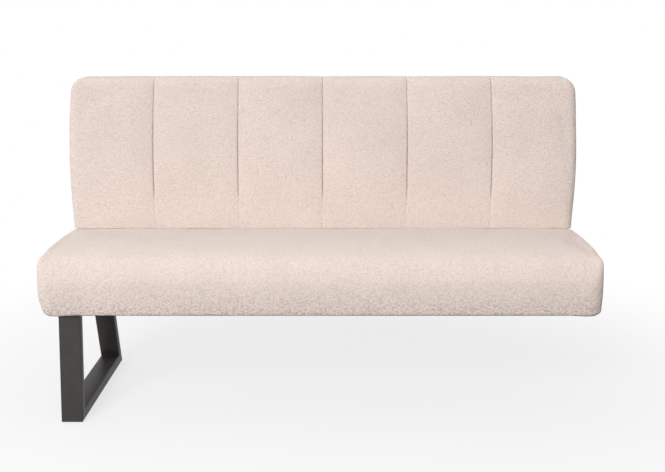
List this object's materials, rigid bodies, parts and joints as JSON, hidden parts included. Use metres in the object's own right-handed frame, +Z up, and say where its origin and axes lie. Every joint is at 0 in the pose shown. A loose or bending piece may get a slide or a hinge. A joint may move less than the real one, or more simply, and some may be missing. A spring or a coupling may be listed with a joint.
{
  "type": "modular sofa",
  "caption": "Armless bench sofa module: padded seat, channelled upholstered back, black steel sled frame under one end and a coupling plate under the other",
  "frame": {"origin": "centre of the footprint of the whole module, on the floor", "axes": "+X along the bench to the sitter's left, as seen in the picture to the right; the front faces -Y; +Z up"},
  "size_m": [1.5996, 0.6258, 0.938],
  "materials": {
    "cover_boucle": "beige looped bouclé pile cloth",
    "foam": "cut polyurethane foam, stood in for by fabric",
    "padding": "white polyester wadding",
    "spring_felt": "grey needle felt",
    "spring_steel": "bare drawn spring wire",
    "zinc_steel": "zinc plated",
    "pine": "planed, unfinished",
    "plywood": "sawn edges, unfinished",
    "hardboard": "smooth pressed board",
    "dust_cloth": "black non-woven cloth",
    "webbing": "woven elastic strap",
    "black_steel": "fine satin black powder coat",
    "bracket_steel": "dark grey powder coat",
    "glide_plastic": "matte moulded"
  },
  "bodies": {
    "root": {"seat_cover": "cover_boucle", "seat_foam": "foam", "seat_border_padding": "padding", "seat_spring_felt": "spring_felt", "seat_springs": "spring_steel", "seat_spring_clips": "zinc_steel", "seat_front_rail": "pine", "seat_spring_rail": "pine", "seat_rear_rail": "pine", "seat_left_end_board": "pine", "seat_right_end_board": "pine", "seat_left_cross_board": "plywood", "seat_centre_cross_board": "plywood", "seat_right_cross_board": "plywood", "seat_back_shelf": "plywood", "seat_left_mounting_board": "plywood", "seat_right_mounting_board": "plywood", "seat_corner_blocks": "pine", "seat_dust_cloth": "dust_cloth", "seat_dust_cloth_staples": "zinc_steel", "back_cover": "cover_boucle", "back_foam": "foam", "back_webbing": "webbing", "back_top_rail": "pine", "back_foot_board": "plywood", "back_left_stile": "pine", "back_right_stile": "pine", "back_left_mid_stile": "pine", "back_centre_mid_stile": "pine", "back_right_mid_stile": "pine", "back_hardboard": "hardboard", "back_wadding": "padding", "back_border_padding": "padding", "back_bottom_cloth": "dust_cloth", "left_back_bracket": "bracket_steel", "centre_back_bracket": "bracket_steel", "right_back_bracket": "bracket_steel", "bracket_bolts": "zinc_steel", "bracket_washers": "zinc_steel", "bracket_nuts": "zinc_steel", "leg_front_upright": "black_steel", "leg_rear_upright": "black_steel", "leg_floor_rail": "black_steel", "leg_top_plate": "black_steel", "coupling_plate": "black_steel", "plate_bolts": "zinc_steel", "tee_nuts": "zinc_steel", "floor_glides": "glide_plastic"}
  },
  "joints": []
}
